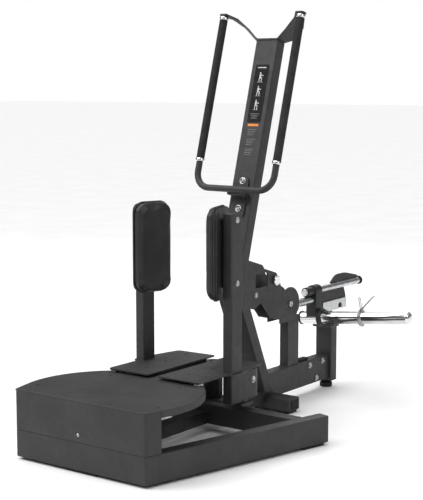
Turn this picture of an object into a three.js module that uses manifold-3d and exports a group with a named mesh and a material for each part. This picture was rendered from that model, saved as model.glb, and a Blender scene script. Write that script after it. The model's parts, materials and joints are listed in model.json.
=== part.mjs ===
// Plate-loaded standing hip machine: two foot plates with outer-thigh pads swing outward
// under a leaning mast with hand grips, and a bell crank lifts a weight horn at the rear.
// Millimetres, +Z up, +Y towards the rear. Drawn from the middle of the front edge on the floor,
// then moved forward by half its length so that the origin is the middle of its footprint.
import * as THREE from 'three';
import { mergeVertices } from 'three/addons/utils/BufferGeometryUtils.js';
import Module from 'manifold-3d';

const wasm = await Module();
wasm.setup();

// ---- driving dimensions -------------------------------------------------------------
const GAP = 0.3;                       // clearance between touching pieces
const SIDES = [['left', -1], ['right', 1]];

const FRAME_HALF = 285;                // half width of the frame at its front edge
const FLARE = THREE.MathUtils.degToRad(14);
const FRAME_LOW = 10;                  // underside of the base tubes, on 10 mm rubber feet
const FRAME_TOP = 105;
const TUBE = 50;                       // width of the 100 x 50 tubes
const RAIL_END = 783;                  // how far back the side rails reach
const CROSS_BACK = 714;                // rear face of the cross tubes
const CROSS_LOW = 30;

const DECK_TOP = 245;
const DECK_SHEET = 4;
const DECK_RADIUS = 318;
const DECK_CENTRE = 165;
const DECK_SKIRT = 24;
const DECK_BEAM_LOW = 170;             // beam under the deck sheet
const DECK_BEAM_END = 470;

const SPINE_LOW = 27;
const SPINE_TOP = 77;

const LEAN = THREE.MathUtils.degToRad(16.1);       // mast, backwards from vertical
const LEG_LEAN = THREE.MathUtils.degToRad(24.5);   // lower leg, forwards from vertical
const MAST_HALF = 50;
const MAST_DEPTH = 50;
const BEND = [821, 508];               // front corner of the bend, y and z
const MAST_LENGTH = 962;

const GRIP_X = 175;                    // half spacing of the hand grips
const HANDLE_OUT = 60;                 // grip axis in front of the mast face
const HANDLE_RADIUS = 12.5;
const HANDLE_LOW = 368;                // lower bar, measured up the mast from the bend
const HANDLE_TOP = 1040;
const HANDLE_CORNER = 60;
const GRIP_LOW = 480;
const GRIP_HIGH = 1024;
const GRIP_RADIUS = 15.7;

const BEAM_HALF = 25;
const BEAM_LOW = 41;
const BEAM_TOP = 142;
const BEAM_END = 1519.5;
const UPRIGHT = [1218, 1298];          // front and rear faces
const UPRIGHT_HALF = 20;
const UPRIGHT_TOP = 345;
const CHEEK = [25.3, 31.3];            // side plates, inner and outer faces

const LEVER_AXIS = [1215, 400];        // y and z of the lever's pivot
const AXLE_RADIUS = 12;
const TAIL_Z = 421;
const HORN_Y = 1445;
const HORN_Z = 307;
const HORN_TILT = THREE.MathUtils.degToRad(5.9);
const HORN_RADIUS = 26;

const HORN_REACH = 448;
const ARM_END = 1298;                  // where the lever's hub ends and its bar starts
const BLOCK = [1420, 1470];            // front and rear faces of the lever block
const BLOCK_HALF = 24;
const TAIL_RADIUS = 15;
const TAIL_END = 1793;
const TAIL_CAP = 20;

const TOWER = [1520, 1568];            // front and rear faces
const TOWER_TOP = 258;

const PIVOT = [60, 820];               // x and y of the leg arm's upright pivot
const POST_X = [178, 218];
const POST_Y = [556, 620];
const POST_LOW = 148;
const POST_TOP = 822;
const PAD_AT = [124, 562, 681];        // middle of a thigh pad's face
const PAD_TURN = THREE.MathUtils.degToRad(18);      // pads turned to face slightly forwards
const PAD_HALF = [80, 169];            // half width and half height
const PAD_DEPTH = 44;                  // cushion and board together
const PIVOT_PLATE_TOP = 89;
const PIN_RADIUS = 14;
const CARRIER_TOP = 252.7;
const HUB_TOP = 226;                    // the hub stands lower than the foot plate
const PLATE_LOW = 253;
const PLATE_TOP = 258;

// ---- colours ------------------------------------------------------------------------
const PAINT = { color: 0x2b2b2c, roughness: 0.55, metalness: 0.3 };
const DARK = { color: 0x1d1d1e, roughness: 0.6, metalness: 0.2 };
const CHROME = { color: 0xd8d9da, roughness: 0.16, metalness: 1 };
const STEEL = { color: 0xa9abad, roughness: 0.35, metalness: 0.9 };
const ZINC = { color: 0xc9cccb, roughness: 0.45, metalness: 0.8 };
const RUBBER = { color: 0x121212, roughness: 0.85, metalness: 0 };
const LEATHER = { color: 0x1a1a1b, roughness: 0.6, metalness: 0 };
const PRINT = { color: 0x0e0e0f, roughness: 0.4, metalness: 0 };

// ---- helpers ------------------------------------------------------------------------
const machine = new THREE.Group();

function addMesh(parent, name, geometry, look, place = [0, 0, 0], turn = [0, 0, 0]) {
  const mesh = new THREE.Mesh(geometry, new THREE.MeshStandardMaterial(look));
  mesh.name = name;
  mesh.position.set(...place);
  mesh.rotation.set(...turn);
  parent.add(mesh);
  return mesh;
}

function outline(points) {
  return new THREE.Shape(points.map(([x, y]) => new THREE.Vector2(x, y)));
}

function rounded(points, radius, steps = 3) {
  // polygon with each corner replaced by a short arc
  const result = [];
  points.forEach((corner, i) => {
    const before = points[(i + points.length - 1) % points.length];
    const after = points[(i + 1) % points.length];
    const c = new THREE.Vector2(...corner);
    const a = new THREE.Vector2(...before).sub(c);
    const b = new THREE.Vector2(...after).sub(c);
    const r = Array.isArray(radius) ? radius[i] : radius;
    const reach = Math.min(r, a.length() * 0.45, b.length() * 0.45);
    if (reach < 0.01) {
      result.push(corner);
      return;
    }
    const start = c.clone().add(a.setLength(reach));
    const end = c.clone().add(b.setLength(reach));
    const curve = new THREE.QuadraticBezierCurve(start, c, end);
    curve.getPoints(steps).forEach((p) => result.push([p.x, p.y]));
  });
  return result;
}

function rectangle(x0, x1, y0, y1) {
  return [[x0, y0], [x1, y0], [x1, y1], [x0, y1]];
}

function arc(x, y, radius, from, to, count) {
  // count + 1 points round (x, y), angles in degrees
  const points = [];
  for (let i = 0; i <= count; i += 1) {
    const angle = THREE.MathUtils.degToRad(from + (to - from) * (i / count));
    points.push([x + radius * Math.cos(angle), y + radius * Math.sin(angle)]);
  }
  return points;
}

function circle(x, y, radius, count = 24) {
  return arc(x, y, radius, 0, 360, count).slice(0, count);
}

function slab(points, low, high, bevel = 0, holes = []) {
  // extrusion along +Z from low to high, with its edges rounded inside the outline
  const shape = outline(points);
  holes.forEach((hole) => shape.holes.push(new THREE.Path(hole.map(([x, y]) => new THREE.Vector2(x, y)))));
  const geometry = new THREE.ExtrudeGeometry(shape, {
    depth: high - low - 2 * bevel,
    bevelEnabled: bevel > 0,
    bevelThickness: bevel,
    bevelSize: bevel,
    bevelOffset: -bevel,
    bevelSegments: bevel > 2.5 ? 2 : 1,
    steps: 1,
    curveSegments: 12,
  });
  geometry.translate(0, 0, low + bevel);
  return geometry;
}

function alongX(geometry) {
  // takes a slab drawn in (y, z) and extruded along x
  geometry.applyMatrix4(new THREE.Matrix4().makeBasis(
    new THREE.Vector3(0, 1, 0), new THREE.Vector3(0, 0, 1), new THREE.Vector3(1, 0, 0)));
  return geometry;
}

function alongY(geometry) {
  // takes a slab drawn in (z, x) and extruded along y
  geometry.applyMatrix4(new THREE.Matrix4().makeBasis(
    new THREE.Vector3(0, 0, 1), new THREE.Vector3(1, 0, 0), new THREE.Vector3(0, 1, 0)));
  return geometry;
}

function turned(profile, segments = 24) {
  // profile of [radius, height] pairs round the z axis
  return new THREE.LatheGeometry(profile.map(([r, z]) => new THREE.Vector2(r, z)), segments)
    .rotateX(Math.PI / 2);
}

function disc(radius, low, high, chamfer = 1, segments = 24) {
  return turned([
    [0, low], [radius - chamfer, low], [radius, low + chamfer],
    [radius, high - chamfer], [radius - chamfer, high], [0, high],
  ], segments);
}

function washer(inner, outer, low, high, segments = 24) {
  return turned([[inner, low], [outer, low], [outer, high], [inner, high], [inner, low]], segments);
}

function toSolid(geometry) {
  const bare = geometry.clone();
  bare.deleteAttribute('normal');
  bare.deleteAttribute('uv');
  const merged = mergeVertices(bare, 1e-4);
  return new wasm.Manifold(new wasm.Mesh({
    numProp: 3,
    vertProperties: new Float32Array(merged.attributes.position.array),
    triVerts: new Uint32Array(merged.index.array),
  }));
}

function toGeometry(solid) {
  const mesh = solid.getMesh();
  const geometry = new THREE.BufferGeometry();
  geometry.setAttribute('position', new THREE.BufferAttribute(new Float32Array(mesh.vertProperties), 3));
  geometry.setIndex(new THREE.BufferAttribute(new Uint32Array(mesh.triVerts), 1));
  geometry.computeVertexNormals();
  return geometry;
}

function cut(body, ...tools) {
  return toGeometry(tools.reduce((solid, tool) => solid.subtract(toSolid(tool)), toSolid(body)));
}

function join(body, ...others) {
  return toGeometry(others.reduce((solid, other) => solid.add(toSolid(other)), toSolid(body)));
}

function lying(geometry) {
  // turns a piece made round the z axis to lie along y
  geometry.rotateX(-Math.PI / 2);
  return geometry;
}

function mirrored(points, sign) {
  // keeps the outline counter-clockwise after the flip
  const flipped = points.map(([x, y]) => [x * sign, y]);
  return sign < 0 ? flipped.reverse() : flipped;
}

// ---- base frame ---------------------------------------------------------------------
function flareX(y) {
  return FRAME_HALF + y * Math.tan(FLARE);
}

function buildBase() {
  const inner = TUBE / Math.cos(FLARE);
  const front = rounded([
    [-FRAME_HALF, 0], [FRAME_HALF, 0], [flareX(TUBE), TUBE], [-flareX(TUBE), TUBE],
  ], [9, 9, 0, 0]);
  addMesh(machine, 'base_front_tube', slab(front, FRAME_LOW, FRAME_TOP, 3), PAINT);

  const start = TUBE + GAP;
  const railBack = [flareX(RAIL_END), RAIL_END];
  const across = [-TUBE * Math.cos(FLARE), TUBE * Math.sin(FLARE)];
  const rail = rounded([
    [flareX(start), start],
    railBack,
    [railBack[0] + across[0], railBack[1] + across[1]],
    [flareX(start) - inner, start],
  ], [0, 9, 9, 0]);
  const crossInner = (y) => flareX(y) - inner - GAP;
  const crossFront = CROSS_BACK - TUBE;
  const cross = slab([
    [-crossInner(crossFront), crossFront], [crossInner(crossFront), crossFront],
    [crossInner(CROSS_BACK), CROSS_BACK], [-crossInner(CROSS_BACK), CROSS_BACK],
  ], CROSS_LOW, FRAME_TOP, 3);
  const spineRoom = slab(rectangle(-BEAM_HALF - GAP, BEAM_HALF + GAP, 600, 800), 0, SPINE_TOP + GAP);
  addMesh(machine, 'cross_tube', cut(cross, spineRoom), PAINT);
  for (const [side, sign] of SIDES) {
    addMesh(machine, `base_rail_${side}`, slab(mirrored(rail, sign), FRAME_LOW, FRAME_TOP, 3), PAINT);
    const padCentre = new THREE.Vector2(flareX(722) - inner / 2, 722);
    addMesh(machine, `rubber_foot_${side}`,
      slab(rounded(rectangle(-20, 20, -52, 52), 8), 0, FRAME_LOW - GAP, 2), RUBBER,
      [sign * padCentre.x, padCentre.y, 0], [0, 0, -sign * FLARE]);
  }
  addMesh(machine, 'rubber_foot_front',
    slab(rounded(rectangle(-70, 70, 8, 46), 8), 0, FRAME_LOW - GAP, 2), RUBBER);
  addMesh(machine, 'spine_tube',
    slab(rectangle(-BEAM_HALF, BEAM_HALF, TUBE + GAP, 1066), SPINE_LOW, SPINE_TOP, 3), PAINT);
  const [px, py] = PIVOT;
  addMesh(machine, 'pivot_base_plate',
    slab(rounded(rectangle(-px - 42, px + 42, py - 42, py + 42), 10), SPINE_TOP + GAP, PIVOT_PLATE_TOP), PAINT);
}

function buildCover() {
  const returnEnd = 61;
  const t = DECK_SHEET;
  const outer = rounded([
    [-flareX(returnEnd), returnEnd], [-FRAME_HALF, 0], [FRAME_HALF, 0], [flareX(returnEnd), returnEnd],
    [flareX(returnEnd) - t, returnEnd], [FRAME_HALF - t, t], [-FRAME_HALF + t, t], [-flareX(returnEnd) + t, returnEnd],
  ], [0, 9, 9, 0, 0, 5, 5, 0]);
  addMesh(machine, 'front_cover', slab(outer, FRAME_TOP + GAP, DECK_TOP - t - GAP), PAINT);

  const deckOutline = (inset) => {
    const radius = DECK_RADIUS - inset;
    const points = [[-FRAME_HALF + inset, inset], [FRAME_HALF - inset, inset]];
    const count = 40;
    for (let i = 0; i <= count; i += 1) {
      const angle = -FLARE + (Math.PI + 2 * FLARE) * (i / count);
      points.push([radius * Math.cos(angle), DECK_CENTRE + radius * Math.sin(angle)]);
    }
    return points;
  };
  const plate = slab(deckOutline(0), DECK_TOP - DECK_SKIRT, DECK_TOP, 1.5);
  const hollow = slab(deckOutline(t), DECK_TOP - DECK_SKIRT - 1, DECK_TOP - t);
  const frontRoom = slab(rectangle(-400, 400, -1, returnEnd + 1), DECK_TOP - DECK_SKIRT - 1, DECK_TOP - t);
  addMesh(machine, 'deck_plate', cut(plate, hollow, frontRoom), PAINT);
  addMesh(machine, 'deck_beam',
    slab(rectangle(-BEAM_HALF, BEAM_HALF, DECK_SHEET + 1, DECK_BEAM_END), DECK_BEAM_LOW, DECK_TOP - t - GAP, 3), PAINT);
  const strut = slab(rounded(rectangle(-20, 20, 330, 390), 4), SPINE_TOP + GAP, DECK_BEAM_LOW - GAP, 0);
  addMesh(machine, 'deck_strut', strut, PAINT);
}

// ---- mast and handles ---------------------------------------------------------------
const mastFrame = new THREE.Group();
mastFrame.position.set(0, BEND[0], BEND[1]);
mastFrame.rotation.x = -LEAN;
machine.add(mastFrame);

function legFront(z) {
  return BEND[0] + (BEND[1] - z) * Math.tan(LEG_LEAN);
}

function legRear(z) {
  return legFront(z) + MAST_DEPTH / Math.cos(LEG_LEAN);
}

function mastFace(z) {
  return BEND[0] + (z - BEND[1]) * Math.tan(LEAN);
}

function mastRear(z) {
  return mastFace(z) + MAST_DEPTH / Math.cos(LEAN);
}

function rearBend() {
  // where the rear faces of the mast and of its leg meet
  const rise = (MAST_DEPTH / Math.cos(LEG_LEAN) - MAST_DEPTH / Math.cos(LEAN))
    / (Math.tan(LEAN) + Math.tan(LEG_LEAN));
  return [mastRear(BEND[1] + rise), BEND[1] + rise];
}

function buildMast() {
  const top = [BEND[0] + MAST_LENGTH * Math.sin(LEAN), BEND[1] + MAST_LENGTH * Math.cos(LEAN)];
  const topRear = [top[0] + MAST_DEPTH * Math.cos(LEAN), top[1] - MAST_DEPTH * Math.sin(LEAN)];
  const foot = SPINE_TOP + GAP;
  const strip = [[legFront(foot), foot], [legRear(foot), foot], rearBend(), topRear, top, BEND];
  addMesh(machine, 'mast', alongX(slab(strip, -MAST_HALF, MAST_HALF, 4)), PAINT);

  // half of the top plate: [x, front y, front height, back y, back height]
  const wing = [
    [46, -4, 0, MAST_DEPTH, 0],
    [82, -12, 34, MAST_DEPTH, 10],
    [128, -34, 70, 42, 54],
    [158, -HANDLE_OUT - 15, 78.5, -6, 77.5],
    [GRIP_X + 8, -HANDLE_OUT - 15, 78.5, -HANDLE_OUT + 18, 78.5],
    [GRIP_X + 16, -HANDLE_OUT - 9, 78.5, -HANDLE_OUT + 10, 78.5],
  ];
  const left = wing.map(([x, ...rest]) => [-x, ...rest]).reverse();
  addMesh(mastFrame, 'mast_top_plate', bentPlate([...left, ...wing], 6), PAINT, [0, 0, MAST_LENGTH + GAP]);
}

function bentPlate(stations, thickness) {
  // closed strip of constant thickness through stations across x
  const positions = [];
  const index = [];
  stations.forEach(([x, front, frontHeight, back, backHeight]) => {
    positions.push(x, front, frontHeight, x, back, backHeight);
    positions.push(x, back, backHeight + thickness, x, front, frontHeight + thickness);
  });
  const quad = (a, b, c, d) => index.push(a, b, c, a, c, d);
  for (let i = 0; i + 1 < stations.length; i += 1) {
    for (let k = 0; k < 4; k += 1) {
      const next = (k + 1) % 4;
      quad(4 * i + k, 4 * i + next, 4 * i + 4 + next, 4 * i + 4 + k);
    }
  }
  const last = 4 * (stations.length - 1);
  quad(3, 2, 1, 0);
  quad(last, last + 1, last + 2, last + 3);
  const geometry = new THREE.BufferGeometry();
  geometry.setAttribute('position', new THREE.Float32BufferAttribute(positions, 3));
  geometry.setIndex(index);
  return toGeometry(toSolid(geometry));
}

function barAlong(path, radius, sides = 16) {
  // round bar whose centreline is a path of [x, z] points in the plane y = 0
  const positions = [];
  const index = [];
  path.forEach(([x, z], i) => {
    const before = path[Math.max(i - 1, 0)];
    const after = path[Math.min(i + 1, path.length - 1)];
    const along = new THREE.Vector2(after[0] - before[0], after[1] - before[1]).normalize();
    circle(0, 0, radius, sides).forEach(([across, y]) => {
      positions.push(x + along.y * across, y, z - along.x * across);
    });
  });
  for (let ring = 0; ring + 1 < path.length; ring += 1) {
    for (let k = 0; k < sides; k += 1) {
      const a = ring * sides + k;
      const b = ring * sides + ((k + 1) % sides);
      index.push(a, b, b + sides, a, b + sides, a + sides);
    }
  }
  const last = (path.length - 1) * sides;
  for (let k = 1; k + 1 < sides; k += 1) {
    index.push(0, k + 1, k, last, last + k, last + k + 1);
  }
  const geometry = new THREE.BufferGeometry();
  geometry.setAttribute('position', new THREE.Float32BufferAttribute(positions, 3));
  geometry.setIndex(index);
  return geometry;
}

function buildHandle() {
  const x = GRIP_X;
  const y = -HANDLE_OUT;
  const turnX = x - HANDLE_CORNER;
  const turnZ = HANDLE_LOW + HANDLE_CORNER;
  const path = [
    [-x, HANDLE_TOP],
    ...arc(-turnX, turnZ, HANDLE_CORNER, 180, 270, 8),
    ...arc(turnX, turnZ, HANDLE_CORNER, 270, 360, 8),
    [x, HANDLE_TOP],
  ];
  addMesh(mastFrame, 'handle_tube', barAlong(path, HANDLE_RADIUS), PAINT, [0, y, 0]);
  for (const [side, sign] of SIDES) {
    const place = [sign * x, y, 0];
    addMesh(mastFrame, `hand_grip_${side}`,
      washer(HANDLE_RADIUS + GAP, GRIP_RADIUS, GRIP_LOW, GRIP_HIGH, 24), RUBBER, place);
  }

  const plate = rounded(rectangle(-27, 27, 268, 428), 26, 6);
  addMesh(mastFrame, 'handle_plate', alongFace(slab(plate, GAP, 6)), PAINT);
  const saddle = alongFace(slab(rounded(rectangle(-30, 30, 348, HANDLE_LOW), 4), 6 + GAP, HANDLE_OUT - 6, 2));
  const groove = barAlong([[-80, HANDLE_LOW], [80, HANDLE_LOW]], HANDLE_RADIUS + GAP);
  groove.translate(0, y, 0);
  addMesh(mastFrame, 'handle_saddle', cut(saddle, groove), PAINT);
  const panel = rounded(rectangle(-30, 30, 640, 865), 4);
  addMesh(mastFrame, 'placard_plate', alongFace(slab(panel, GAP, 1.8)), PRINT);
}

function alongFace(geometry) {
  // takes a slab drawn in (x, z) and extruded towards the front of the mast
  geometry.applyMatrix4(new THREE.Matrix4().makeBasis(
    new THREE.Vector3(1, 0, 0), new THREE.Vector3(0, 0, 1), new THREE.Vector3(0, -1, 0)));
  return geometry;
}

// ---- rear frame ---------------------------------------------------------------------
function buildRear() {
  const beam = [
    [legRear(BEAM_TOP) + GAP, BEAM_TOP], [legRear(SPINE_TOP) + GAP, SPINE_TOP],
    [1066 + GAP, SPINE_TOP - 3], [1066 + GAP, BEAM_LOW], [BEAM_END, BEAM_LOW], [BEAM_END, BEAM_TOP],
  ];
  addMesh(machine, 'rear_beam', alongX(slab(beam, -BEAM_HALF, BEAM_HALF, 3)), PAINT);
  const foot = slab(rounded(rectangle(-142, 142, 1042, 1121), 12), FRAME_LOW, 58, 4);
  const spineNotch = slab(rectangle(-BEAM_HALF - GAP, BEAM_HALF + GAP, 1000, 1200), SPINE_LOW - GAP, 100);
  addMesh(machine, 'rear_foot_tube', cut(foot, spineNotch), PAINT);
  for (const [side, sign] of SIDES) {
    addMesh(machine, `rubber_foot_rear_${side}`,
      slab(mirrored(rounded(rectangle(84, 134, 1050, 1113), 8), sign), 0, FRAME_LOW - GAP, 2), RUBBER);

    const [by, bz] = rearBend();
    const cheek = [
      [mastRear(612) + GAP, 612], [935, 603], [1019, 578], [1032, 562], [1112, 538], [1130, 520],
      [1160, 454],
    ];
    cheek.push(...arc(...LEVER_AXIS, 67, 130, -47, 12));
    cheek.push([1262, 330], [1144, 330], [1144, 346], [1082, 361], [1013, 433], [964, 412]);
    cheek.push([legRear(424) + GAP, 424], [by + GAP, bz]);
    cheek.reverse();
    const window = rounded(rectangle(972, 1054, 490, 546), 8);
    const low = sign > 0 ? CHEEK[0] : -CHEEK[1];
    const high = sign > 0 ? CHEEK[1] : -CHEEK[0];
    addMesh(machine, `cheek_plate_${side}`, alongX(slab(cheek, low, high, 0, [window, circle(...LEVER_AXIS, AXLE_RADIUS + GAP)])), PAINT);
  }
  addMesh(machine, 'rear_upright',
    alongX(slab(rectangle(...UPRIGHT, BEAM_TOP + GAP, UPRIGHT_TOP), -UPRIGHT_HALF, UPRIGHT_HALF, 3)), PAINT);

  const pinTurn = [0, Math.PI / 2, 0];
  addMesh(machine, 'brace_pin', disc(20, CHEEK[1] + GAP, 46, 3), CHROME, [0, 1105, 508], pinTurn);

  const column = slab(rounded(rectangle(-38, 38, TOWER[0], TOWER[1]), 6), 30, TOWER_TOP + 1, 0);
  const flange = slab(rounded(rectangle(-44, 44, 1500, 1578), 8), TOWER_TOP, TOWER_TOP + 10, 1.5);
  addMesh(machine, 'rear_tower', join(column, flange), PAINT);
  addMesh(machine, 'tower_stop', disc(17, TOWER_TOP + 10 + GAP, 319, 3), RUBBER, [0, 1560, 0]);
  addMesh(machine, 'beam_bumper',
    slab(rounded(rectangle(-14, 14, 1312, 1384), 10), BEAM_TOP + GAP, BEAM_TOP + 11, 3), RUBBER);
  addMesh(machine, 'levelling_foot', turned([
    [0, 0], [23, 0], [26, 3], [26, 17], [22, 22], [10, 22], [10, 30 - GAP], [0, 30 - GAP],
  ]), RUBBER, [0, 1544, 0]);
}

// ---- leg arms -----------------------------------------------------------------------
function buildArm(side, sign) {
  const arm = new THREE.Group();
  machine.add(arm);
  const [px, py] = PIVOT;
  addMesh(machine, `arm_pivot_pin_${side}`,
    disc(PIN_RADIUS, PIVOT_PLATE_TOP + GAP, HUB_TOP - 2, 1), DARK, [sign * px, py, 0]);

  const hub = disc(38, PIVOT_PLATE_TOP + 1, CARRIER_TOP);
  hub.translate(sign * px, py, 0);
  const reach = [
    [POST_X[0] + 2, POST_Y[0] + 10], [POST_X[1] - 1, POST_Y[0] + 10], [POST_X[1] - 1, 722],
    [px + 34, py + 16], [px - 6, py - 34],
  ];
  const carrier = slab(mirrored(rounded(reach, [0, 0, 22, 0, 0], 4), sign), 152, CARRIER_TOP, 3);
  const postOutline = mirrored(rounded(rectangle(...POST_X, ...POST_Y), 6), sign);
  const post = slab(postOutline, POST_LOW, POST_TOP, 2);
  const pinRoom = disc(PIN_RADIUS + GAP, 0, 400, 1);
  pinRoom.translate(sign * px, py, 0);
  const step = slab(rectangle(-300, 300, 779, 900), HUB_TOP, 300);
  addMesh(arm, `leg_arm_${side}`, cut(join(post, carrier, hub), pinRoom, step), PAINT);

  const plate = rounded([
    [20, 386], [203, 386], [203, 546], [228, 558], [228, 612], [192, 780], [24, 788],
  ], [12, 12, 6, 8, 10, 14, 10], 3);
  const hole = rectangle(POST_X[0] - GAP, POST_X[1] + GAP, POST_Y[0] - GAP, POST_Y[1] + GAP).reverse();
  addMesh(arm, `foot_plate_${side}`,
    slab(mirrored(plate, sign), PLATE_LOW, PLATE_TOP, 0, [mirrored(hole, sign)]), PAINT);

  const pad = new THREE.Group();
  pad.position.set(sign * PAD_AT[0], PAD_AT[1], PAD_AT[2]);
  pad.rotation.z = sign * PAD_TURN;
  arm.add(pad);
  const [w, h] = PAD_HALF;
  const boardFace = PAD_DEPTH - 6;
  const thick = (low, high) => (sign > 0 ? [low, high] : [-high, -low]);
  const board = rounded(rectangle(8 - w, w - 8, 8 - h, h - 8), 32, 6);
  addMesh(pad, `pad_board_${side}`, alongX(slab(board, ...thick(boardFace, PAD_DEPTH), 1)), DARK);
  const cushion = rounded(rectangle(-w, w, -h, h), 40, 6);
  addMesh(pad, `thigh_pad_${side}`, alongX(slab(cushion, ...thick(0, boardFace - GAP), 10)), LEATHER);

  // wedge between the turned pad board and the square post
  const onBack = (along) => [
    PAD_AT[0] + (PAD_DEPTH + GAP) * Math.cos(PAD_TURN) - along * Math.sin(PAD_TURN),
    PAD_AT[1] + (PAD_DEPTH + GAP) * Math.sin(PAD_TURN) + along * Math.cos(PAD_TURN),
  ];
  const postFace = POST_X[0] - GAP;
  const wedge = [onBack(-8), [postFace, 566], [postFace, 614], onBack(34)];
  addMesh(arm, `pad_bracket_${side}`, slab(mirrored(wedge, sign), 560, 800, 1), PAINT);
}

// ---- weight lever -------------------------------------------------------------------
function buildLever() {
  const [ay, az] = LEVER_AXIS;
  const quarter = [0, Math.PI / 2, 0];
  addMesh(machine, 'lever_axle', disc(AXLE_RADIUS, -38, 38, 2), STEEL, [0, ay, az], quarter);
  const hub = disc(40, -22, 22, 1);
  hub.rotateY(Math.PI / 2).translate(0, ay, az);
  const neck = alongX(slab([[ay, 364], [ARM_END, 364], [ARM_END, 406], [ay, 436]], -20, 20, 2));
  const bore = disc(AXLE_RADIUS + GAP, -60, 60, 1);
  bore.rotateY(Math.PI / 2).translate(0, ay, az);
  addMesh(machine, 'lever_hub', cut(join(neck, hub), bore), DARK);
  addMesh(machine, 'lever_bar', lying(disc(17, ARM_END + GAP, BLOCK[0] - GAP, 1)), STEEL, [0, 0, 384]);

  const rodAxis = lying(disc(TAIL_RADIUS + GAP, 1300, 1600, 1));
  rodAxis.translate(0, 0, TAIL_Z);
  const hornAxis = disc(HORN_RADIUS + GAP, -200, 200, 1);
  hornAxis.rotateY(Math.PI / 2 - HORN_TILT).translate(0, HORN_Y, HORN_Z);
  const face = [[HORN_Z, -BLOCK_HALF], ...arc(TAIL_Z, 0, BLOCK_HALF, 90, -90, 10).reverse(), [HORN_Z, BLOCK_HALF]];
  const body = alongY(slab(face.reverse(), BLOCK[0], BLOCK[1], 1.5));
  const sleeve = lying(disc(19.5, 1374, BLOCK[0] + 5, 1));
  sleeve.translate(0, 0, TAIL_Z);
  addMesh(machine, 'lever_block', cut(join(body, sleeve), rodAxis, hornAxis), DARK);

  addMesh(machine, 'tail_tube', lying(disc(TAIL_RADIUS, 1368, TAIL_END, 1.5)), STEEL, [0, 0, TAIL_Z]);
  addMesh(machine, 'tail_cap', lying(disc(18, TAIL_END + GAP, TAIL_END + TAIL_CAP, 4)), RUBBER, [0, 0, TAIL_Z]);
  const under = TAIL_Z - TAIL_RADIUS - GAP;
  const web = [[BLOCK[1] + GAP, 330], [1560, 322], [1690, 322], [1690, 372], [1676, under], [BLOCK[1] + GAP, under]];
  addMesh(machine, 'lever_web', alongX(slab(web, -4, 4)), DARK);
  const over = TAIL_Z + TAIL_RADIUS + GAP;
  const fin = rounded([[1568, over], [TAIL_END - 4, over], [TAIL_END - 4, 446], [1690, 468], [1612, 468]],
    [0, 0, 8, 20, 20], 4);
  addMesh(machine, 'tail_fin', alongX(slab(fin, -4, 4)), DARK);
  const notched = [[1500, 340], [1545, 320], [1622, 320], [1622, 338], [1630, 346], [1642, 346], [1650, 338],
    [1650, 320], [1688, 320], [1688, 362], [1500, 362]];
  addMesh(machine, 'notch_plate', alongX(slab(notched, 4 + GAP, 10)), ZINC);

  const horn = new THREE.Group();
  horn.position.set(0, HORN_Y, HORN_Z);
  horn.rotation.y = Math.PI / 2 - HORN_TILT;
  machine.add(horn);
  const tip = HORN_REACH;
  addMesh(horn, 'weight_horn', turned([
    [0, -54], [HORN_RADIUS - 1, -54], [HORN_RADIUS, -53], [HORN_RADIUS, tip - 14],
    [HORN_RADIUS - 2, tip - 7], [HORN_RADIUS - 7, tip - 2], [HORN_RADIUS - 13, tip], [0, tip],
  ], 32), CHROME);
  addMesh(horn, 'horn_disc', washer(HORN_RADIUS + GAP, 37, 30, 42, 32), DARK);
  addMesh(horn, 'spring_collar', washer(HORN_RADIUS + GAP, 31, 222, 233, 32), STEEL);
}

buildBase();
buildCover();
buildMast();
buildHandle();
buildRear();
SIDES.forEach(([side, sign]) => buildArm(side, sign));
buildLever();

// the front edge is at y = 0 and the tail cap ends the machine at the rear
machine.position.y = -(TAIL_END + TAIL_CAP) / 2;
const assembly = new THREE.Group();
assembly.add(machine);

export default assembly;
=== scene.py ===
# Looks for the standing hip machine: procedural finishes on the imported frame, cloth-simulated
# thigh pads, and the small fixed trim (bolts, collars, welds, caps, placard) that rides with it.
import json
import math

import bmesh
import bpy
from mathutils import Matrix, Vector


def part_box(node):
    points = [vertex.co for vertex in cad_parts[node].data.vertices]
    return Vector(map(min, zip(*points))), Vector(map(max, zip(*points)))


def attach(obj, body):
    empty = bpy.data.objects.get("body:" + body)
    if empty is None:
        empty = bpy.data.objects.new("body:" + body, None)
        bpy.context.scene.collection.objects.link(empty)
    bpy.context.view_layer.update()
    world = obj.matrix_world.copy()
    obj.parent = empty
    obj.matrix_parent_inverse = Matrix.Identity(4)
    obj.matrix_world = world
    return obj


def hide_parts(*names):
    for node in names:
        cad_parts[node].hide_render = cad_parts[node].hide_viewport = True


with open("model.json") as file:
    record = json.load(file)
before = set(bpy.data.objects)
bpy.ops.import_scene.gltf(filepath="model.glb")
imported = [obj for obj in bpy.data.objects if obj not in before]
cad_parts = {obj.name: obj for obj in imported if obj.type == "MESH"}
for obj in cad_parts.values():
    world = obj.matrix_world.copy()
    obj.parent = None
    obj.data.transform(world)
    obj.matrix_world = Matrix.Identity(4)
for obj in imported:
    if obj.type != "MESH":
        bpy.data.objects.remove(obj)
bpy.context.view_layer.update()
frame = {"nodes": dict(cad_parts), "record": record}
nodes = frame["nodes"]

MM = 0.001
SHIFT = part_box("tail_cap")[1].y            # half the machine's length: the origin is mid-length
SIDES = (("left", -1), ("right", 1))

LENS = 93.04                               # mm
CAMERA_AT = (2.7943, -3.0405, 1.2731)      # metres, with Y from the front edge of the base
CAMERA_PITCH = math.radians(82.6)
CAMERA_TURN = math.radians(36.53)

BEND_Y = 821                               # the mast's bend, in the drawing's millimetres
BEND_Z = 508
MAST_BEND = Vector((0, BEND_Y * MM - SHIFT, BEND_Z * MM))
MAST_LEAN = math.radians(16.1)             # above the bend
MAST_FOOT_LEAN = math.radians(24.5)        # below it
HORN_TILT = math.radians(5.9)
HORN_START = Vector((0, 1445 * MM - SHIFT, 307 * MM))

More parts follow.
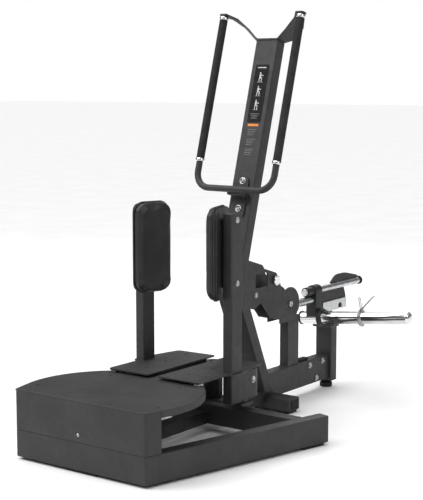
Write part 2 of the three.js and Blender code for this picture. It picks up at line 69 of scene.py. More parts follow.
# Places that trim sits at, in the drawing's millimetres.
GRIP_X = 175
HANDLE_OUT = 60
DECK_TOP = 245
PLATE_TOP = 258
CHEEK_FACE = 31.4
BEAM_FACE = 25.2
POST_FACE = 218.2
CARRIER_FACE = 217.2


# ---- camera and studio ---------------------------------------------------------------
def add_camera():
    data = bpy.data.cameras.new("camera")
    data.sensor_width = 36
    data.lens = LENS
    data.clip_end = 100
    camera = bpy.data.objects.new("camera", data)
    camera.location = (CAMERA_AT[0], CAMERA_AT[1] - SHIFT, CAMERA_AT[2])
    camera.rotation_euler = (CAMERA_PITCH, 0, CAMERA_TURN)
    bpy.context.scene.collection.objects.link(camera)
    bpy.context.scene.camera = camera


def add_area(name, place, target, size, power):
    data = bpy.data.lights.new(name, "AREA")
    data.shape = "DISK"
    data.size = size
    data.energy = power
    light = bpy.data.objects.new(name, data)
    light.location = place
    light.rotation_euler = (Vector(target) - Vector(place)).to_track_quat("-Z", "Y").to_euler()
    bpy.context.scene.collection.objects.link(light)


WORLD_LIGHT = 0.42
DARK_BAND = ((0.12, 0.9), (0.2, 0.25), (0.34, 0.25), (0.46, 1.0))     # height, shade
AREA_LIGHTS = (                            # name, place, target, size, power
    ("key", (-2.6, -3.4, 3.6), (0, 0, 0.5), 2.2, 60),
    ("side", (3.6, -0.6, 2.6), (0, 0, 0.5), 1.8, 30),
    ("back", (-1.5, 3.8, 3.0), (0, 0, 0.6), 2.0, 30),
)
OVERHEAD_POWER = 2.3
OVERHEAD_SPREAD = math.radians(70)
FLOOR_SIZE = 120


def add_world():
    """White behind the machine, dimmer light on it, and a dark band for the chrome to reflect."""
    world = bpy.data.worlds.new("studio")
    bpy.context.scene.world = world
    world.use_nodes = True
    tree = world.node_tree
    lit = tree.nodes["Background"]
    lit.inputs["Strength"].default_value = WORLD_LIGHT
    place = tree.nodes.new("ShaderNodeTexCoord")
    height = tree.nodes.new("ShaderNodeSeparateXYZ")
    band = tree.nodes.new("ShaderNodeValToRGB")
    for position, shade in DARK_BAND:
        stop = band.color_ramp.elements.new(position)
        stop.color = (shade, shade, shade, 1)
    tree.links.new(place.outputs["Generated"], height.inputs["Vector"])
    tree.links.new(height.outputs["Z"], band.inputs["Fac"])
    tree.links.new(band.outputs["Color"], lit.inputs["Color"])
    seen = tree.nodes.new("ShaderNodeBackground")
    seen.inputs["Color"].default_value = (1, 1, 1, 1)
    seen.inputs["Strength"].default_value = 1.0
    ray = tree.nodes.new("ShaderNodeLightPath")
    mix = tree.nodes.new("ShaderNodeMixShader")
    tree.links.new(ray.outputs["Is Camera Ray"], mix.inputs["Fac"])
    tree.links.new(lit.outputs["Background"], mix.inputs[1])
    tree.links.new(seen.outputs["Background"], mix.inputs[2])
    tree.links.new(mix.outputs["Shader"], tree.nodes["World Output"].inputs["Surface"])


def add_studio():
    add_world()
    for light in AREA_LIGHTS:
        add_area(*light)
    sky = bpy.data.lights.new("overhead", "SUN")
    sky.energy = OVERHEAD_POWER
    sky.angle = OVERHEAD_SPREAD
    overhead = bpy.data.objects.new("overhead", sky)
    overhead.rotation_euler = (math.radians(18), math.radians(-14), 0)
    bpy.context.scene.collection.objects.link(overhead)
    bpy.context.scene.view_settings.view_transform = "Standard"
    bpy.ops.mesh.primitive_plane_add(size=FLOOR_SIZE, location=(0, 0, -0.0005))
    floor = bpy.context.object
    floor.name = "floor"
    floor.data.materials.append(make_floor_finish())


# ---- finishes ------------------------------------------------------------------------
class Finish:
    """A node material with short ways to add noise, ramps and bump."""

    def __init__(self, name, metallic=0.0, roughness=0.5):
        self.material = bpy.data.materials.new(name)
        self.material.use_nodes = True
        self.tree = self.material.node_tree
        self.shader = self.tree.nodes["Principled BSDF"]
        self.shader.inputs["Metallic"].default_value = metallic
        self.shader.inputs["Roughness"].default_value = roughness
        self.place = self.tree.nodes.new("ShaderNodeTexCoord").outputs["Object"]

    def link(self, a, b):
        self.tree.links.new(a, b)

    def stretched(self, scale):
        mapping = self.tree.nodes.new("ShaderNodeMapping")
        mapping.inputs["Scale"].default_value = scale
        self.link(self.place, mapping.inputs["Vector"])
        return mapping.outputs["Vector"]

    def noise(self, scale, detail=3.0, vector=None):
        noise = self.tree.nodes.new("ShaderNodeTexNoise")
        noise.inputs["Scale"].default_value = scale
        noise.inputs["Detail"].default_value = detail
        self.link(vector or self.place, noise.inputs["Vector"])
        return noise.outputs["Fac"]

    def cells(self, scale, feature="F1", vector=None):
        cells = self.tree.nodes.new("ShaderNodeTexVoronoi")
        cells.feature = feature
        cells.inputs["Scale"].default_value = scale
        self.link(vector or self.place, cells.inputs["Vector"])
        return cells.outputs["Distance"]

    def colour(self, fac, dark, light, low=0.35, high=0.65):
        ramp = self.tree.nodes.new("ShaderNodeValToRGB")
        ramp.color_ramp.elements[0].position = low
        ramp.color_ramp.elements[0].color = (*dark, 1)
        ramp.color_ramp.elements[1].position = high
        ramp.color_ramp.elements[1].color = (*light, 1)
        self.link(fac, ramp.inputs["Fac"])
        self.link(ramp.outputs["Color"], self.shader.inputs["Base Color"])

    def rough(self, fac, low, high):
        span = self.tree.nodes.new("ShaderNodeMapRange")
        span.inputs["From Min"].default_value = 0.3
        span.inputs["From Max"].default_value = 0.7
        span.inputs["To Min"].default_value = low
        span.inputs["To Max"].default_value = high
        self.link(fac, span.inputs["Value"])
        self.link(span.outputs["Result"], self.shader.inputs["Roughness"])

    def bump(self, *layers):
        """layers of (height, strength, distance), coarse first."""
        normal = None
        for height, strength, distance in layers:
            bump = self.tree.nodes.new("ShaderNodeBump")
            bump.inputs["Strength"].default_value = strength
            bump.inputs["Distance"].default_value = distance
            self.link(height, bump.inputs["Height"])
            if normal is not None:
                self.link(normal, bump.inputs["Normal"])
            normal = bump.outputs["Normal"]
        self.link(normal, self.shader.inputs["Normal"])


def make_floor_finish():
    f = Finish("floor_finish", 0, 0.7)
    f.colour(f.noise(3), (0.93, 0.93, 0.935), (0.97, 0.97, 0.97))
    f.bump((f.noise(120), 0.05, 0.001))
    return f.material


def make_powder_coat(name, dark, light):
    f = Finish(name, 0.0, 0.5)
    f.shader.inputs["Specular IOR Level"].default_value = 0.4
    f.colour(f.noise(7, 5), dark, light)
    f.rough(f.noise(45, 4), 0.44, 0.58)
    f.bump((f.noise(60, 2), 0.04, 0.001), (f.noise(1500, 2), 0.28, 0.0003))
    return f.material


def make_chrome():
    f = Finish("chrome", 1, 0.1)
    f.colour(f.noise(12), (0.74, 0.74, 0.75), (0.86, 0.86, 0.87))
    rubbed = f.noise(160, 4, f.stretched((0.25, 6, 6)))
    f.rough(rubbed, 0.07, 0.17)
    f.bump((rubbed, 0.03, 0.0003))
    return f.material


def make_steel():
    f = Finish("bright_steel", 1, 0.3)
    f.colour(f.noise(30, 4), (0.42, 0.43, 0.44), (0.6, 0.61, 0.62))
    turned = f.noise(220, 3, f.stretched((1, 0.2, 1)))
    f.rough(turned, 0.22, 0.38)
    f.bump((turned, 0.08, 0.0003))
    return f.material


def make_zinc():
    f = Finish("zinc_plate", 0.9, 0.45)
    spangle = f.cells(95)
    f.colour(spangle, (0.5, 0.52, 0.52), (0.72, 0.74, 0.73), 0.1, 0.8)
    f.rough(f.cells(95), 0.36, 0.55)
    f.bump((f.noise(400), 0.1, 0.0003))
    return f.material


def make_rubber():
    f = Finish("black_rubber", 0, 0.8)
    f.shader.inputs["Specular IOR Level"].default_value = 0.3
    f.colour(f.noise(20, 5), (0.009, 0.009, 0.009), (0.02, 0.02, 0.02))
    f.rough(f.noise(70), 0.7, 0.86)
    f.bump((f.noise(700, 2), 0.3, 0.0004))
    return f.material


def make_foam():
    f = Finish("grip_foam", 0, 0.72)
    f.shader.inputs["Specular IOR Level"].default_value = 0.35
    f.colour(f.noise(25, 5), (0.009, 0.009, 0.0095), (0.018, 0.018, 0.019))
    pores = f.cells(1400)
    f.rough(f.noise(60), 0.62, 0.8)
    f.bump((f.noise(90), 0.12, 0.001), (pores, 0.45, 0.0004))
    return f.material


def make_leather():
    f = Finish("upholstery", 0, 0.5)
    f.shader.inputs["Specular IOR Level"].default_value = 0.5
    f.colour(f.noise(16, 6), (0.007, 0.007, 0.0075), (0.015, 0.015, 0.0155))
    grain = f.cells(430, "DISTANCE_TO_EDGE")
    f.rough(f.noise(35, 5), 0.38, 0.56)
    f.bump((f.noise(28, 4), 0.14, 0.002), (grain, 0.4, 0.0005), (f.noise(1600), 0.15, 0.0002))
    return f.material


def make_thread():
    f = Finish("thread", 0, 0.6)
    f.colour(f.noise(300), (0.03, 0.03, 0.031), (0.06, 0.06, 0.062))
    f.bump((f.noise(2500), 0.5, 0.0002))
    return f.material


def make_print(name, dark, light, rough=0.4):
    f = Finish(name, 0, rough)
    f.shader.inputs["Specular IOR Level"].default_value = 0.25
    f.colour(f.noise(90, 4), dark, light)
    f.rough(f.noise(50), rough - 0.06, rough + 0.1)
    f.bump((f.noise(900), 0.06, 0.0002))
    return f.material


FINISHES = {
    "black_paint": make_powder_coat("black_paint", (0.024, 0.024, 0.0255), (0.034, 0.034, 0.0355)),
    # dark_paint is the same powder coat as black_paint at about half its brightness
    "dark_paint": make_powder_coat("dark_paint", (0.012, 0.012, 0.013), (0.02, 0.02, 0.021)),
    "chrome": make_chrome(),
    "bright_steel": make_steel(),
    "zinc_plate": make_zinc(),
    "black_rubber": make_rubber(),
    "grip_foam": make_foam(),
    "upholstery": make_leather(),
    "placard_print": make_print("placard_print", (0.003, 0.003, 0.0035), (0.006, 0.006, 0.0065), 0.6),
}
THREAD = make_thread()
DARK_STEEL = make_print("dark_steel", (0.012, 0.012, 0.013), (0.02, 0.02, 0.021), 0.35)
NYLON = make_print("nylon", (0.62, 0.62, 0.6), (0.74, 0.74, 0.72), 0.45)
PANEL_PRINT = make_print("panel_print", (0.0015, 0.0015, 0.002), (0.004, 0.004, 0.0045), 0.62)
PALE_PRINT = make_print("pale_print", (0.5, 0.5, 0.5), (0.62, 0.62, 0.62))
GREY_PRINT = make_print("grey_print", (0.16, 0.17, 0.18), (0.24, 0.25, 0.26))
WARM_PRINT = make_print("warm_print", (0.75, 0.22, 0.02), (0.85, 0.3, 0.04))


WELD_REACH = 0.00002
EDGE_WIDTH = 0.0007
SHARP = math.radians(35)


def finish_frame_nodes():
    """Gives each CAD node its finish and fine rounded edges."""
    for row in frame["record"]["subparts"]:
        node = nodes[row["node"]]
        node.data.materials.clear()
        node.data.materials.append(FINISHES[row["material_slot"]])
        for polygon in node.data.polygons:
            polygon.material_index = 0
        weld = node.modifiers.new("weld", "WELD")
        weld.merge_threshold = WELD_REACH
        bevel = node.modifiers.new("edge", "BEVEL")
        bevel.width = EDGE_WIDTH
        bevel.segments = 2
        bevel.limit_method = "ANGLE"
        bevel.angle_limit = SHARP
        bevel.use_clamp_overlap = True
        node.data.shade_smooth()
        if "custom_normal" in node.data.attributes:
            node.data.attributes.remove(node.data.attributes["custom_normal"])
        weighted = node.modifiers.new("weighted", "WEIGHTED_NORMAL")
        weighted.keep_sharp = False


# ---- mesh helpers --------------------------------------------------------------------
def add_piece(name, verts, faces, body, slot, material=None, smooth=True):
    mesh = bpy.data.meshes.new(name)
    mesh.from_pydata([tuple(v) for v in verts], [], faces)
    mesh.validate()
    shaper = bmesh.new()
    shaper.from_mesh(mesh)
    bmesh.ops.recalc_face_normals(shaper, faces=shaper.faces)
    shaper.to_mesh(mesh)
    shaper.free()
    piece = bpy.data.objects.new(name, mesh)
    bpy.context.scene.collection.objects.link(piece)
    mesh.materials.append(material or FINISHES[slot])
    if smooth:
        mesh.shade_smooth()
    else:
        mesh.shade_flat()
    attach(piece, body)
    return piece


def soften(piece, width=0.0006, segments=2):
    bevel = piece.modifiers.new("edge", "BEVEL")
    bevel.width = width
    bevel.segments = segments
    bevel.limit_method = "ANGLE"
    bevel.angle_limit = SHARP
    bevel.harden_normals = True


def hexagon(angle):
    return math.cos(math.pi / 6) / math.cos(angle % (math.pi / 3) - math.pi / 6)


def revolve(profile, at, axis, segments=32):
    """Closed form round axis from (radius, height) or (radius, height, "hex") rings; ends lie on the axis."""
    turn = Vector(axis).normalized().to_track_quat("Z", "Y").to_matrix()
    verts, faces = [], []
    rings = []
    for ring in profile:
        radius, height = ring[0], ring[1]
        if radius == 0:
            rings.append([len(verts)])
            verts.append(Vector(at) + turn @ Vector((0, 0, height)))
            continue
        rings.append(list(range(len(verts), len(verts) + segments)))
        for i in range(segments):
            angle = 2 * math.pi * i / segments
            r = radius * (hexagon(angle) if len(ring) > 2 else 1)
            verts.append(Vector(at) + turn @ Vector((r * math.cos(angle), r * math.sin(angle), height)))
    for low, high in zip(rings, rings[1:]):
        for i in range(segments):
            j = (i + 1) % segments
            if len(low) == 1:
                faces.append((low[0], high[j], high[i]))
            elif len(high) == 1:
                faces.append((low[i], low[j], high[0]))
            else:
                faces.append((low[i], low[j], high[j], high[i]))
    return verts, faces


def revolve_ring(profile, at, axis, segments=40):
    """Closed ring whose profile of (radius, height) goes once round its own section."""
    turn = Vector(axis).normalized().to_track_quat("Z", "Y").to_matrix()
    count = len(profile)
    verts, faces = [], []
    for i in range(segments):
        angle = 2 * math.pi * i / segments
        for radius, height in profile:
            local = Vector((radius * math.cos(angle), radius * math.sin(angle), height))
            verts.append(Vector(at) + turn @ local)
    for i in range(segments):
        for k in range(count):
            a, b = i * count + k, i * count + (k + 1) % count
            c, d = ((i + 1) % segments) * count + (k + 1) % count, ((i + 1) % segments) * count + k
            faces.append((a, b, c, d))
    return verts, faces


def ring_section(inner, outer, low, high, edge):
    return [
        (inner, low + edge), (inner + edge, low), (outer - edge, low), (outer, low + edge),
        (outer, high - edge), (outer - edge, high), (inner + edge, high), (inner, high - edge),
    ]


def sweep(path, radius, sides=8, closed=False):
    """Round bar along path; radius is a number or a function of the point's index."""
    count = len(path)
    verts, faces = [], []
    across = None
    for i, point in enumerate(path):
        before = path[i - 1] if closed or i else path[i]
        after = path[(i + 1) % count] if closed or i + 1 < count else path[i]
        along = (Vector(after) - Vector(before)).normalized()
        if across is None:
            across = along.orthogonal().normalized()
        across = (across - along * across.dot(along)).normalized()
        up = along.cross(across)
        r = radius(i) if callable(radius) else radius
        for k in range(sides):
            angle = 2 * math.pi * k / sides
            verts.append(Vector(point) + r * (math.cos(angle) * across + math.sin(angle) * up))
    for i in range(count if closed else count - 1):
        for k in range(sides):
            a, b = i * sides + k, i * sides + (k + 1) % sides
            c, d = ((i + 1) % count) * sides + (k + 1) % sides, ((i + 1) % count) * sides + k
            faces.append((a, b, c, d))
    if not closed:
        faces.append(tuple(reversed(range(sides))))
        faces.append(tuple(range((count - 1) * sides, count * sides)))
    return verts, faces


def box_on(centre, axes, half):
    """Six-sided block from its centre, three unit axes and half sizes."""
    verts = []
    for signs in (
        (-1, -1, -1), (1, -1, -1), (1, 1, -1), (-1, 1, -1),
        (-1, -1, 1), (1, -1, 1), (1, 1, 1), (-1, 1, 1),
    ):
        offsets = (Vector(a) * h * s for a, h, s in zip(axes, half, signs))
        verts.append(Vector(centre) + sum(offsets, Vector()))
    faces = [(0, 3, 2, 1), (4, 5, 6, 7), (0, 1, 5, 4), (1, 2, 6, 5), (2, 3, 7, 6), (3, 0, 4, 7)]
    return verts, faces


def rounded_outline(half_a, half_b, radius, steps):
    """Points of a rounded rectangle centred on the origin."""
    points = []
    for quarter, (sa, sb) in enumerate(((1, 1), (-1, 1), (-1, -1), (1, -1))):
        for i in range(steps + 1):
            angle = math.pi / 2 * (quarter + i / steps)
            points.append((
                sa * (half_a - radius) + radius * math.cos(angle),
                sb * (half_b - radius) + radius * math.sin(angle),
            ))
    return points


def at_mm(x, y, z):
    """A point in the drawing's millimetres, measured from the front edge, in the row frame."""
    return Vector((x * MM, y * MM - SHIFT, z * MM))


def on_mast(x, out, up):
    """A point in millimetres from the bend: across, out of the front face, and up the mast."""
    c, s = math.cos(MAST_LEAN), math.sin(MAST_LEAN)
    return MAST_BEND + Vector((x, -out * c + up * s, out * s + up * c)) * MM


MAST_OUT = Vector((0, -math.cos(MAST_LEAN), math.sin(MAST_LEAN)))
MAST_UP = Vector((0, math.sin(MAST_LEAN), math.cos(MAST_LEAN)))
HORN_AXIS = Vector((math.cos(HORN_TILT), 0, math.sin(HORN_TILT)))


# ---- fasteners -----------------------------------------------------------------------
def add_bolt(name, at, axis, body, radius=0.0085, height=0.007, washer=True):
    """Button-head socket bolt with a washer."""
    base = 0.0
    if washer:
        verts, faces = revolve_ring(ring_section(radius * 0.5, radius * 1.35, 0, 0.0016, 0.0003), at, axis)
        soften(add_piece(name + "_washer", verts, faces, body, "bright_steel"), 0.0002)
        base = 0.0016
    dome = [
        (radius * math.cos(a), base + height * (0.3 + 0.7 * math.sin(a)))
        for a in [math.radians(10 * k) for k in range(6)]
    ]
    profile = [(0, base), (radius, base), *dome]
    socket = radius * 0.52
    profile += [(socket * 1.08, base + height * 0.98), (socket, base + height * 0.95, "hex"),
                (socket * 0.98, base + height * 0.35, "hex"), (0, base + height * 0.3)]
    verts, faces = revolve(profile, at, axis, 36)
    piece = add_piece(name, verts, faces, body, "bright_steel")
    soften(piece, 0.0003)


def add_screw(name, at, axis, body, radius=0.006):
    """Flat blackened screw with a hex socket."""
    profile = [
        (0, -0.001), (radius, -0.001), (radius, 0.0006), (radius * 0.9, 0.0011), (radius * 0.5, 0.0011),
        (radius * 0.46, 0.0009, "hex"), (radius * 0.44, -0.0004, "hex"), (0, -0.0005),
    ]
    verts, faces = revolve(profile, at, axis, 36)
    add_piece(name, verts, faces, body, "dark_paint", DARK_STEEL)


def add_fasteners():
    for name, up in (("low", 306), ("high", 412)):
        add_bolt(f"handle_bolt_{name}", on_mast(0, 6.4, up), MAST_OUT, "frame", 0.0095, 0.008)
    for side, sign in SIDES:
        outward = Vector((sign, 0, 0))
        leg = f"{side}_leg"
        for name, y, z in (("front", 1376, 121), ("rear", 1473, 124), ("low", 1427, 60)):
            place = at_mm(sign * BEAM_FACE, y, z)
            add_bolt(f"beam_bolt_{name}_{side}", place, outward, "frame", 0.009, 0.0075)
        add_bolt(f"arm_bolt_{side}", at_mm(sign * CARRIER_FACE, 690, 218), outward, leg, 0.009, 0.0075)
        for name, z in (("low", 578), ("high", 800)):
            place = at_mm(sign * POST_FACE, 588, z)
            add_bolt(f"pad_bolt_{name}_{side}", place, outward, leg, 0.008, 0.0065)
        for name, x, y in (("front", 265, 87), ("back", 155, 340)):
            place = at_mm(sign * x, y, DECK_TOP)
            add_screw(f"deck_screw_{name}_{side}", place, (0, 0, 1), "frame", 0.0065)
        for name, x, y in (("outer", 109, 597), ("rear", 127, 743), ("inner", 94, 472)):
            add_screw(f"plate_screw_{name}_{side}", at_mm(sign * x, y, PLATE_TOP), (0, 0, 1), leg)
        place = at_mm(sign * CHEEK_FACE, 975, 466)
        add_bolt(f"cheek_bolt_{side}", place, outward, "frame", 0.008, 0.0065)
    add_bolt("cover_bolt", at_mm(0, -0.1, 130), (0, -1, 0), "frame", 0.006, 0.0045, False)


# ---- thigh pads ----------------------------------------------------------------------
PAD_TURN = math.radians(18)
PAD_HALF_WIDTH = 80 * MM
PAD_BACK = 37.7 * MM                       # from the face of the cushion to the board
PAD_FACE_AT = (124, 562, 681)
PAD_BAND = 0.009                           # depth of the sewn band round the back of a pad
PAD_CORNER = 0.042
PAD_ARCH = 0.03                            # share of its height that a pad loses at its two sides
SEAM_INSET = 0.004
FACE_INSET = 0.009                         # how much further in the face ends than the seam
CLOTH_MOST = 0.0045                        # the furthest that cloth may move a point
CLOTH_STEPS = 20
VOXEL = 0.005


def add_pad(side, sign):
    body = f"{side}_leg"
    half_y = PAD_HALF_WIDTH
    low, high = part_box(f"thigh_pad_{side}")
    half_z = (high.z - low.z) / 2
    depth = PAD_BACK
    band_depth = PAD_BAND
    seam_x = depth - band_depth
    radius = PAD_CORNER
    place = Matrix.Translation(at_mm(sign * PAD_FACE_AT[0], PAD_FACE_AT[1], PAD_FACE_AT[2]))
    place = place @ Matrix.Rotation(sign * PAD_TURN, 4, "Z") @ Matrix.Diagonal((sign, 1, 1, 1))

    def ring(x, shrink):
        outline = rounded_outline(half_y - shrink, half_z - shrink, radius - min(shrink, 0.03) * 0.5, 8)
        arched = [(a, b * (1 - PAD_ARCH * (a / half_y) ** 2)) for a, b in outline]
        return [Vector((x, a, b)) for a, b in arched]

    def stack(levels):
        rings = [ring(x, shrink) for x, shrink in levels]
        count = len(rings[0])
        verts = [v for r in rings for v in r]
        faces = []
        for i in range(len(rings) - 1):
            for k in range(count):
                j = (k + 1) % count
                faces.append((i * count + k, i * count + j, (i + 1) * count + j, (i + 1) * count + k))
        faces.append(tuple(reversed(range(count))))
        faces.append(tuple(range((len(rings) - 1) * count, len(rings) * count)))
        return verts, faces

    levels = [(seam_x - 0.0005, SEAM_INSET)]
    for step in range(1, 7):
        angle = step / 6 * math.pi / 2
        shrink = SEAM_INSET + FACE_INSET * (1 - math.cos(angle))
        levels.append((seam_x - (depth - band_depth - 0.001) * (0.6 + 0.28 * math.sin(angle)), shrink))
    verts, faces = stack(levels)
    cushion = add_piece(f"pad_cushion_{side}", verts, faces, body, "upholstery")
    swell_pad(cushion, seam_x)
    keep_inside(cushion, (0, -half_y, -half_z), (depth, half_y, half_z))
    settle(cushion, place)
    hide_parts(f"thigh_pad_{side}")

    verts, faces = stack([
        (depth, 0.006), (depth - 0.003, 0.0025), (seam_x + 0.004, 0.0025), (seam_x + 0.0005, 0.006),
    ])
    band = add_piece(f"pad_band_{side}", verts, faces, body, "upholstery")
    settle(band, place)
    soften(band, 0.001, 3)
    verts, faces = sweep(ring(seam_x, 0.0035), 0.0022, 10, closed=True)
    settle(add_piece(f"pad_piping_{side}", verts, faces, body, "upholstery"), place)
    line = ring(depth - band_depth * 0.5, 0.0022)
    settle(add_stitches(f"pad_stitches_{side}", line, body), place)


def settle(piece, place):
    """Moves a piece drawn about the pad's own middle to its place, with its faces pointing out."""
    piece.data.transform(place)
    shaper = bmesh.new()
    shaper.from_mesh(piece.data)
    bmesh.ops.recalc_face_normals(shaper, faces=shaper.faces)
    shaper.to_mesh(piece.data)
    shaper.free()


def swell_pad(cushion, seam_x):
    """Remeshes the cushion finely and lets cloth under pressure crown it, with its seam held."""
    bpy.context.view_layer.objects.active = cushion
    remesh = cushion.modifiers.new("remesh", "REMESH")
    remesh.mode = "VOXEL"
    remesh.voxel_size = VOXEL
    bpy.ops.object.modifier_apply(modifier="remesh")
    before = [v.co.copy() for v in cushion.data.vertices]
    held = cushion.vertex_groups.new(name="seam")
    for v in cushion.data.vertices:
        if abs(v.co.x - seam_x) < 0.006:
            held.add([v.index], 1.0, "REPLACE")
    cloth = cushion.modifiers.new("cloth", "CLOTH")
    cloth.settings.use_pressure = True
    cloth.settings.uniform_pressure_force = 4
    cloth.settings.effector_weights.gravity = 0
    cloth.settings.vertex_group_mass = "seam"
    cloth.settings.quality = 6
    scene = bpy.context.scene
    for step in range(1, CLOTH_STEPS + 1):
        scene.frame_set(step)
    evaluated = cushion.evaluated_get(bpy.context.evaluated_depsgraph_get())
    after = [v.co.copy() for v in evaluated.data.vertices]
    cushion.modifiers.remove(cloth)
    scene.frame_set(1)
    for v, start, end in zip(cushion.data.vertices, before, after):
        move = end - start
        if move.length > CLOTH_MOST:
            move = move * (CLOTH_MOST / move.length)
        v.co = start + move
    smooth = cushion.modifiers.new("smooth", "SMOOTH")
    smooth.factor = 0.5
    smooth.iterations = 6
    bpy.ops.object.modifier_apply(modifier="smooth")
    cushion.modifiers.new("fine", "SUBSURF").levels = 1
    cushion.modifiers["fine"].render_levels = 1
    bpy.ops.object.modifier_apply(modifier="fine")
    cushion.data.shade_smooth()


def keep_inside(piece, low, high):
    for v in piece.data.vertices:
        for k in range(3):
            v.co[k] = min(max(v.co[k], low[k]), high[k])


def add_stitches(name, ring, body):
    """Short raised threads along a closed line, a stitch and a gap at a time."""
    verts, faces = [], []
    pitch, length = 0.0065, 0.0042
    travelled = 0.0
    for a, b in zip(ring, ring[1:] + ring[:1]):
        span = (b - a).length
        if span < 1e-6:
            continue
        along = (b - a) / span
        while travelled < span:
            start = a + along * travelled
            part_verts, part_faces = sweep([start, start + along * length * 0.5, start + along * length],
                                           lambda i: (0.0003, 0.0006, 0.0003)[i], 6)
            offset = len(verts)
            verts += part_verts
            faces += [tuple(index + offset for index in face) for face in part_faces]
            travelled += pitch
        travelled -= span
    return add_piece(name, verts, faces, body, "upholstery", THREAD)


# ---- grips, collars and caps ---------------------------------------------------------
def add_grip_trim():
    for side, sign in SIDES:
        for name, up in (("low", 467.5), ("high", 1024.5)):
            section = ring_section(0.0127, 0.0172, 0, 0.0125, 0.0012)
            centre = on_mast(sign * GRIP_X, HANDLE_OUT, up)
            verts, faces = revolve_ring(section, centre, MAST_UP)
            add_piece(f"grip_collar_{name}_{side}", verts, faces, "frame", "chrome")


def add_horn_trim():
    """Rubber cap behind the horn, and the spring collar's wire loop with two arms that stand up."""
    cap = [
        (0, 0), (0.02, 0), (0.0275, 0.0015), (0.0285, 0.004),
        (0.0285, 0.0075), (0.0265, 0.0082), (0, 0.0082),
    ]
    verts, faces = revolve(cap, HORN_START - HORN_AXIS * 0.0625, HORN_AXIS, 40)
    add_piece("horn_inner_cap", verts, faces, "weight_lever", "black_rubber")
    side_way = Vector((0, 1, 0))
    up = HORN_AXIS.cross(side_way).normalized()
    centre = HORN_START + HORN_AXIS * 0.2275
    loop = []
    turns, steps = 1.6, 60
    coil, wire = 0.0335, 0.0018
    for i in range(steps + 1):
        angle = math.radians(60) + turns * 2 * math.pi * i / steps
        pitch = 0.0042 * (i / steps - 0.5) * 2
        loop.append(centre + coil * (math.cos(angle) * side_way + math.sin(angle) * up) + HORN_AXIS * pitch)
    verts, faces = sweep(loop, wire, 8)
    add_piece("collar_spring", verts, faces, "collar", "bright_steel")
    for name, lean, reach in (("near", -0.1, 0.05), ("far", 0.85, 0.085)):
        start = centre + up * 0.033
        way = (up * math.cos(lean) + HORN_AXIS * math.sin(lean)).normalized()
        across = side_way * 0.006
        bend = [start + across, start + across + way * reach * 0.5, start + across + way * (reach - 0.006)]
        for k in range(5):
            angle = math.pi * k / 4
            bend.append(start + way * (reach - 0.006 + 0.006 * math.sin(angle)) + across * math.cos(angle))
        bend += [start - across + way * reach * 0.5, start - across]
        verts, faces = sweep(bend, wire, 8)
        add_piece(f"collar_handle_{name}", verts, faces, "collar", "bright_steel")


def add_tube_caps():
    """Plastic end caps in the open ends of the base rails and the rear cross foot."""
    flare = math.radians(14)
    for side, sign in SIDES:
        way = Vector((sign * math.sin(flare), math.cos(flare), 0))
        across = Vector((sign * math.cos(flare), -math.sin(flare), 0))
        low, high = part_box(f"base_rail_{side}")
        outer_x = high.x if sign > 0 else low.x
        corner = Vector((outer_x, 783 * MM - SHIFT, 57.5 * MM))
        centre = corner - across * 0.025 + way * 0.0012
        verts, faces = box_on(centre, (across, way, (0, 0, 1)), (0.0205, 0.0015, 0.043))
        soften(add_piece(f"rail_cap_{side}", verts, faces, "frame", "black_rubber"), 0.0012, 3)
        centre = at_mm(sign * 142.9, 1081.5, 34)
        verts, faces = box_on(centre, ((0, 1, 0), (1, 0, 0), (0, 0, 1)), (0.026, 0.0015, 0.018))
        soften(add_piece(f"foot_cap_{side}", verts, faces, "frame", "black_rubber"), 0.0012, 3)


def add_glides():
    """Small white nylon pads between each swinging foot plate and the deck it slides over."""
    for side, sign in SIDES:
        centre = at_mm(sign * 188, 402, 249.3)
        axes = ((1, 0, 0), (0, 1, 0), (0, 0, 1))
        verts, faces = box_on(centre, axes, (0.011, 0.011, 0.0032))
        piece = add_piece(f"glide_pad_{side}", verts, faces, f"{side}_leg", "placard_print", NYLON)
        soften(piece, 0.0012, 3)


# ---- welds ---------------------------------------------------------------------------
def add_weld(name, corners, body, closed=False, size=0.0026):
    """A rippled bead along a line of corner points."""
    path = []
    ends = corners[1:] + (corners[:1] if closed else [])
    for a, b in zip(corners, ends):
        steps = max(2, round((b - a).length / 0.0022))
        path += [a.lerp(b, i / steps) for i in range(steps)]
    if not closed:
        path.append(corners[-1])
    verts, faces = sweep(path, lambda i: size * (0.82 + 0.18 * math.cos(i * 2.1)), 8, closed)
    add_piece(name, verts, faces, body, "black_paint")


def rectangle_mm(x, y0, y1, z):
    return [at_mm(-x, y0, z), at_mm(x, y0, z), at_mm(x, y1, z), at_mm(-x, y1, z)]


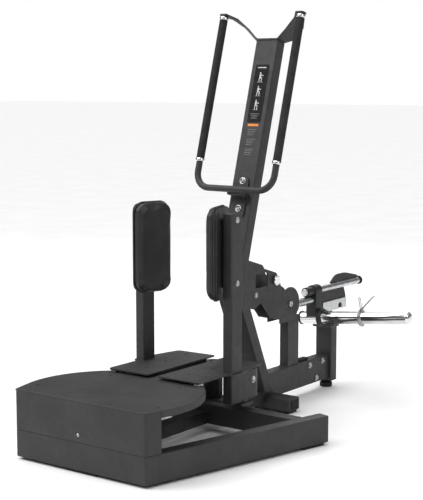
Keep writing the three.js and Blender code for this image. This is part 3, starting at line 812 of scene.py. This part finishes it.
def add_welds():
    upright_low, upright_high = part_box("rear_upright")
    y0, y1 = upright_low.y + SHIFT, upright_high.y + SHIFT
    add_weld("weld_upright", rectangle_mm(20, y0 / MM, y1 / MM, 142.5), "frame", True)
    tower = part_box("rear_beam")[1].y + SHIFT
    side_points = [at_mm(24.5, tower / MM, 44), at_mm(24.5, tower / MM, 140),
                   at_mm(-24.5, tower / MM, 140), at_mm(-24.5, tower / MM, 44)]
    add_weld("weld_tower", side_points, "frame")
    foot_y = BEND_Y + (BEND_Z - 77) * math.tan(MAST_FOOT_LEAN)
    depth = 50 / math.cos(MAST_FOOT_LEAN)
    for side, sign in SIDES:
        foot_line = [at_mm(sign * 26, y, 77.5) for y in (foot_y, foot_y + depth)]
        add_weld(f"weld_mast_foot_{side}", foot_line, "frame")
        around = [at_mm(sign * x, y, 258.4) for x, y in ((179, 557), (217, 557), (217, 619), (179, 619))]
        add_weld(f"weld_post_{side}", around, f"{side}_leg", True, 0.002)
    saddle = [on_mast(-34, 7, 330), on_mast(34, 7, 330), on_mast(34, 7, 366), on_mast(-34, 7, 366)]
    add_weld("weld_saddle", saddle, "frame", True, 0.002)


# ---- placard -------------------------------------------------------------------------
def add_plate_on_mast(name, x, up, half_x, half_up, out, thick, material):
    centre = on_mast(x, out + thick / 2, up)
    axes = ((1, 0, 0), MAST_UP, MAST_OUT)
    verts, faces = box_on(centre, axes, (half_x * MM, half_up * MM, thick * MM / 2))
    piece = add_piece(name, verts, faces, "frame", "placard_print", material)
    soften(piece, 0.0001, 1)


def add_placard():
    """Plain shapes in place of the instruction pictures: no lettering."""
    top = 1.85                             # just above the placard plate, out of the mast
    add_plate_on_mast("placard_heading", 0, 853, 19, 2.0, top, 0.25, PALE_PRINT)
    for number, up in enumerate((816, 762, 708)):
        add_plate_on_mast(f"placard_panel_{number}", 0, up, 22, 23, top, 0.15, PANEL_PRINT)
        for name, x, lift, half_x, half_up, print_of in (
            ("body", -2, 3, 4, 9, PALE_PRINT), ("head", -3, 16, 2.6, 2.6, PALE_PRINT),
            ("leg", -5, -13, 1.7, 7, PALE_PRINT), ("step", 5, -11, 1.7, 9, PALE_PRINT),
            ("arm", 6, 6, 6, 1.4, PALE_PRINT), ("base", 0, -20, 13, 1.2, GREY_PRINT),
        ):
            label = f"placard_{name}_{number}"
            add_plate_on_mast(label, x, up + lift, half_x, half_up, top + 0.15, 0.2, print_of)
    for number, up in enumerate((672, 664, 656)):
        add_plate_on_mast(f"placard_line_{number}", 0, up, 20 - 4 * number, 1.1, top, 0.2, GREY_PRINT)
    add_plate_on_mast("mast_label", 0, 629, 24, 4.5, 0.1, 0.4, WARM_PRINT)
    for group in range(3):
        for row in range(4):
            up = 612 - 38 * group - 7 * row
            label = f"mast_mark_{group}_{row}"
            add_plate_on_mast(label, -2 * row, up, 19 - 2 * row, 0.9, 0.1, 0.3, GREY_PRINT)


add_camera()
add_studio()
finish_frame_nodes()
for side, sign in SIDES:
    add_pad(side, sign)
add_grip_trim()
add_horn_trim()
add_tube_caps()
add_glides()
add_welds()
add_placard()
add_fasteners()
